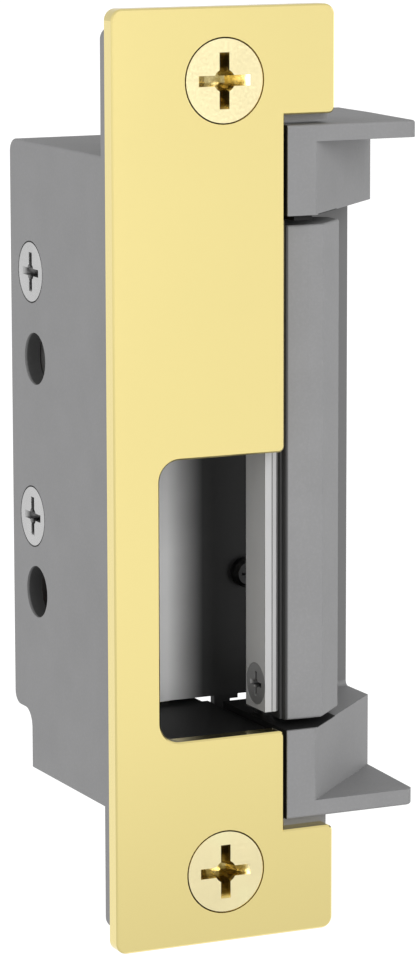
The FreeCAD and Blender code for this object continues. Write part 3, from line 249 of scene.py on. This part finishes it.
def metal(name, colour, roughness, grain_scale=ROUND_GRAIN, grain_depth=0.01, spread=0.06,
          recess=None, fades=(), metallic=1.0):
    """A bare or plated metal with a fine grain, grain_depth in mm; below 1, metallic mutes its reflections.

    recess is (axis, start, end, colour): along that axis the metal goes to colour from start to end, with
    a mottled edge, which stands for the shadow in a screw's recess.  Each of fades is the same with an
    even edge, for a face whose light changes from one side to the other.
    """
    graph = Graph(name)
    tone = graph.noise(120, 3)
    shade = graph.ramp(tone, between(colour, 0.95), between(colour, 1.05))
    if recess:
        axis, start, end, deep_colour = recess
        # Noise that mottles the edge of the painted recess shadow.
        shadow_mottle = graph.range(graph.noise(900, 3, 0.7), 0.6, 1.0, 0.35, 0.65)
        depth = graph.range(graph.split()[axis], 0.0, 1.0, start, end)
        shade = graph.mix(graph.maths("MULTIPLY", depth, shadow_mottle), shade, deep_colour)
    for axis, start, end, far_colour in fades:
        shade = graph.mix(graph.range(graph.split()[axis], 0.0, 1.0, start, end), shade, far_colour)
    graph.link(shade, graph.shader.inputs["Base Color"])
    grain = graph.noise(1.0, 3, 0.55, graph.stretched(grain_scale))
    graph.link(graph.range(grain, roughness - spread, roughness + spread), graph.shader.inputs["Roughness"])
    graph.bump(grain, grain_depth * MM, 0.2)
    graph.set(Metallic=metallic)
    return graph.material


def plastic(name, colour, roughness=0.45):
    """Moulded plastic with a faint skin texture."""
    graph = Graph(name)
    tone = graph.ramp(graph.noise(90, 2), between(colour, 0.93), between(colour, 1.07))
    graph.link(tone, graph.shader.inputs["Base Color"])
    skin = graph.noise(3000, 2)
    graph.link(graph.range(skin, roughness - 0.05, roughness + 0.05), graph.shader.inputs["Roughness"])
    graph.bump(skin, 0.01 * MM, 0.2)
    return graph.material


def copper_winding(name):
    """Close turns of enamelled wire round a vertical axis, drawn as ridges across the coil, with painted
    shade in the grooves between them.
    """
    graph = Graph(name)
    wave = graph.node("ShaderNodeTexWave", wave_type="BANDS", bands_direction="Z")
    wave.inputs["Scale"].default_value = 330
    wave.inputs["Distortion"].default_value = 0.6
    wave.inputs["Detail"].default_value = 1.0
    graph.link(graph.position, wave.inputs["Vector"])
    copper = (0.48, 0.17, 0.06)
    graph.link(graph.ramp(wave.outputs["Fac"], between(copper, 0.45), between(copper, 1.0), 0.05, 0.5),
               graph.shader.inputs["Base Color"])
    graph.bump(wave.outputs["Fac"], 0.08 * MM, 0.8)
    graph.set(Metallic=0.8, Roughness=0.28)
    return graph.material


def recess_below(node, axis, depth=0.25 * MM, run=0.5 * MM, colour=grey(0.02)):
    """The painted shadow in the recess of a screw whose head lies at the low end of its node's box along an
    axis.
    """
    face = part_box(node)[0]["XYZ".index(axis)]
    return axis, face + depth, face + depth + run, colour


def casting_paints():
    """The paints of the case, the keeper housing and the keeper, each darker in its deep shadows."""
    shadow = grey(0.012)
    sharp, soft, wide = 0.05 * MM, 0.1 * MM, 0.3 * MM

    case_low, case_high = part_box("case")
    skin, wall = 0.3 * MM, 2.15 * MM
    behind_tabs, floor_half = 5.0 * MM, 40.9 * MM
    past_back = 1.0
    hollow = (case_low.x + wall, behind_tabs, -floor_half), (case_high.x - wall, past_back, floor_half)
    bores = ((case_low.x + skin, behind_tabs, -floor_half),
             (case_low.x + wall, case_high.y - wall, floor_half))
    case_paint = cast_paint("case_paint", shaded=((*bores, soft, grey(0.07)), (*hollow, soft, shadow)))

    between_ears = (9.0 * MM, 0.5 * MM, -34.3 * MM), (19.0 * MM, 20.0 * MM, 34.6 * MM)
    ear_side = (8.9 * MM, 0.25 * MM, -50 * MM), (9.25 * MM, 20.0 * MM, 50 * MM)
    post = (19.2 * MM, 17.0 * MM, -33.6 * MM), (40.0 * MM, 40.0 * MM, 33.6 * MM)
    housing_paint = cast_paint("cast_paint", shaded=((*between_ears, sharp, shadow),
                                                     (*ear_side, soft, shadow),
                                                     (*post, wide, grey(0.155))))

    past_ends = 1.0
    shim_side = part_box("keeper")[0].x
    beside_shims = (shim_side, 0.0, -past_ends), (10.25 * MM, past_back, past_ends)
    keeper_paint = cast_paint("keeper_paint", 0.22, shaded=((*beside_shims, soft, grey(0.05)),))
    return case_paint, housing_paint, keeper_paint


def shim(name, level, *fades):
    """One of the keeper's two shims, ground along its length."""
    return metal(name, (level, level, level), 0.36, STRIP_GRAIN, 0.0006, 0.01, metallic=0.05, fades=fades)


def finish_nodes():
    """Give every CAD node its material."""
    case_paint, housing_paint, keeper_paint = casting_paints()
    # Painted shade and light: the liner darkens towards its right, the outer shim is painted lighter on its
    # face behind the front edge, and both shims darken towards their back edges.
    liner_right_shade = "X", 2.6 * MM, 8.0 * MM, grey(0.03)
    outer_shim_painted_light = "Y", 3.6 * MM, 3.9 * MM, grey(0.60)
    outer_shim_back_shade = "X", 8.40 * MM, 8.56 * MM, grey(0.03)
    inner_shim_back_shade = "X", 9.10 * MM, 9.30 * MM, grey(0.16)
    plated = metal("zinc_plated_steel", ZINC, 0.3)
    ground = metal("ground_steel", (0.62, 0.62, 0.61), 0.18, (400, 400, 6000))
    sheet = metal("satin_sheet", STEEL, 0.36, SHEET_GRAIN)
    spring = metal("spring_wire", (0.45, 0.45, 0.45), 0.28)
    table = {
        "faceplate": satin_brass("satin_brass"),
        "faceplate_screws": metal("brass_screws", PALE_BRASS, 0.2,
                                  recess=recess_below("faceplate_screws", "Y", colour=BRASS_RECESS_SHADE)),
        "case": case_paint,
        "keeper_housing": housing_paint,
        "keeper": keeper_paint,
        "side_screws": metal("bright_zinc", (0.46, 0.46, 0.46), 0.3,
                             recess=recess_below("side_screws", "X", 0.15 * MM, 0.4 * MM)),
        "housing_screws": plated,
        "back_cover": sheet,
        "back_cover_screws": plated,
        "pocket_liner": metal("liner_sheet", (0.47, 0.47, 0.47), 0.42, SHEET_GRAIN, metallic=0.3,
                              fades=[liner_right_shade]),
        "liner_screws": metal("dark_zinc", (0.07, 0.07, 0.07), 0.35),
        "keeper_shim_outer": shim("polished_shim", 0.42, outer_shim_painted_light, outer_shim_back_shade),
        "keeper_shim_inner": shim("polished_shim_inner", 0.38, inner_shim_back_shade),
        "shim_screws": metal("dark_steel", (0.34, 0.34, 0.34), 0.4,
                             recess=recess_below("shim_screws", "X", 0.1 * MM, 0.3 * MM), metallic=0.6),
        "keeper_pin": ground,
        "keeper_spring": spring,
        "mechanism_bracket": sheet,
        "solenoid_frame": plated,
        "solenoid_screws": plated,
        "solenoid_bobbin": plastic("black_nylon", (0.02, 0.02, 0.022)),
        "coil_winding": copper_winding("copper_winding"),
        "solenoid_core": ground,
        "lever_pin": ground,
        "coil_leads": plastic("red_insulation", (0.45, 0.02, 0.015), 0.35),
        "connector_socket": plastic("natural_nylon", (0.78, 0.76, 0.68)),
        "connector_contacts": plated,
        "plunger": ground,
        "plunger_clip": metal("phosphated_steel", (0.10, 0.10, 0.10), 0.45),
        "plunger_cross_pin": ground,
        "plunger_spring": spring,
        "locking_lever": plated,
    }
    for name, material in table.items():
        data = nodes[name].data
        data.materials.clear()
        data.materials.append(material)


finish_nodes()


# ------------------------------------------------------------------ springs

def working_spring(name):
    """A copy of a CAD spring, which stands for the rigid node so that it can follow a joint."""
    spring = bpy.data.objects.new(f"{name}_working", nodes[name].data.copy())
    bpy.context.scene.collection.objects.link(spring)
    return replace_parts(spring, name)


def add_springs():
    """Copies of the two CAD springs: the keeper's with its transform baked in, the plunger's attached to the
    frame with a mesh of its own.
    """
    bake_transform(working_spring("keeper_spring"))

    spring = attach(working_spring("plunger_spring"), "frame")
    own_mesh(spring)


add_springs()


# ------------------------------------------------------------------ stage

# How brightly the floor glows: close in front of the strike, far in front of it, and behind it.
FLOOR_NEAR = 0.66
FLOOR_FAR = 0.865
FLOOR_BEHIND = 1.06
# The greys of the surroundings.
HORIZON = 0.85
ZENITH = 0.75
# Each light's place, width and height in metres, and its power in watts.
LIGHTS = {
    "front_box": ((0.05, -1.3, 0.35), 0.5, 1.2, 13.0),
    "left_box": ((-1.32, 0.0, 0.1), 0.5, 1.3, 9.6),
    "right_box": ((1.1, 0.5, -0.05), 0.4, 1.3, 0.5),
}


def soft_light(name, place, aim, width, height, watts):
    """A rectangular soft box at place, turned towards aim."""
    data = bpy.data.lights.new(name, "AREA")
    data.shape = "RECTANGLE"
    data.size = width
    data.size_y = height
    data.energy = watts
    light = bpy.data.objects.new(name, data)
    light.location = place
    light.rotation_euler = (Vector(aim) - Vector(place)).to_track_quat("-Z", "Y").to_euler()
    bpy.context.scene.collection.objects.link(light)


def add_floor():
    """A wide pale floor well under the strike, softly self-lit, and dimmer close in front of it."""
    reach = 12.0
    drop = 0.16
    dim_until, bright_from = 0.48, 0.75
    edge = 0.05
    low = cad_box[0][2] - drop
    data = bpy.data.meshes.new("floor")
    corners = [(-reach, -reach, low), (reach, -reach, low), (reach, reach, low), (-reach, reach, low)]
    data.from_pydata(corners, [], [(0, 1, 2, 3)])
    floor = bpy.data.objects.new("floor", data)
    bpy.context.scene.collection.objects.link(floor)
    graph = Graph("floor_white")
    distance = graph.maths("MULTIPLY", graph.split()["Y"], -1.0)
    far = graph.range(distance, FLOOR_NEAR, FLOOR_FAR, dim_until, bright_from)
    behind = graph.range(distance, 1.0, 0.0, -edge, edge)
    glow = graph.maths("MAXIMUM", far, graph.maths("MULTIPLY", behind, FLOOR_BEHIND))
    graph.link(glow, graph.shader.inputs["Emission Strength"])
    graph.set(Base_Color=grey(0.05), Roughness=0.9, Specular_IOR_Level=0.0, Emission_Color=grey(1.0))
    data.materials.append(graph.material)


def add_world():
    """Even white surroundings, dimmer overhead than at the horizon."""
    world = bpy.data.worlds.new("studio")
    world.use_nodes = True
    bpy.context.scene.world = world
    tree = world.node_tree
    background = tree.nodes["Background"]
    coordinates = tree.nodes.new("ShaderNodeTexCoord")
    split = tree.nodes.new("ShaderNodeSeparateXYZ")
    ramp = tree.nodes.new("ShaderNodeValToRGB")
    ramp.color_ramp.elements[0].position = 0.0
    ramp.color_ramp.elements[0].color = grey(HORIZON)
    ramp.color_ramp.elements[1].position = 0.9
    ramp.color_ramp.elements[1].color = grey(ZENITH)
    tree.links.new(coordinates.outputs["Generated"], split.inputs["Vector"])
    tree.links.new(split.outputs["Z"], ramp.inputs["Fac"])
    tree.links.new(ramp.outputs["Color"], background.inputs["Color"])
    background.inputs["Strength"].default_value = 1.0


def add_camera():
    """The viewpoint: left of the strike and a little above it, through a long lens."""
    place = Vector((-225.2, -472.6, 90.0)) * MM
    yaw = math.radians(25.26)
    pitch = math.radians(9.84)
    roll = math.radians(-0.128)
    forward = Vector((math.sin(yaw) * math.cos(pitch), math.cos(yaw) * math.cos(pitch), -math.sin(pitch)))
    level = Vector((math.cos(yaw), -math.sin(yaw), 0))
    up = level.cross(forward)
    right = math.cos(roll) * level + math.sin(roll) * up
    top = -math.sin(roll) * level + math.cos(roll) * up
    data = bpy.data.cameras.new("camera")
    data.sensor_fit = "VERTICAL"
    data.sensor_height = 36.0
    data.lens = 149.7
    data.clip_start = 0.01
    data.clip_end = 100
    camera = bpy.data.objects.new("camera", data)
    turn = Matrix((right, top, -forward)).transposed()
    camera.matrix_world = Matrix.Translation(place) @ turn.to_4x4()
    bpy.context.scene.collection.objects.link(camera)
    bpy.context.scene.camera = camera


add_floor()
add_world()
add_camera()
centre = (cad_box[0] + cad_box[1]) / 2
for name, (place, width, height, watts) in LIGHTS.items():
    soft_light(name, place, centre, width, height, watts)
bpy.context.scene.view_settings.view_transform = "Standard"
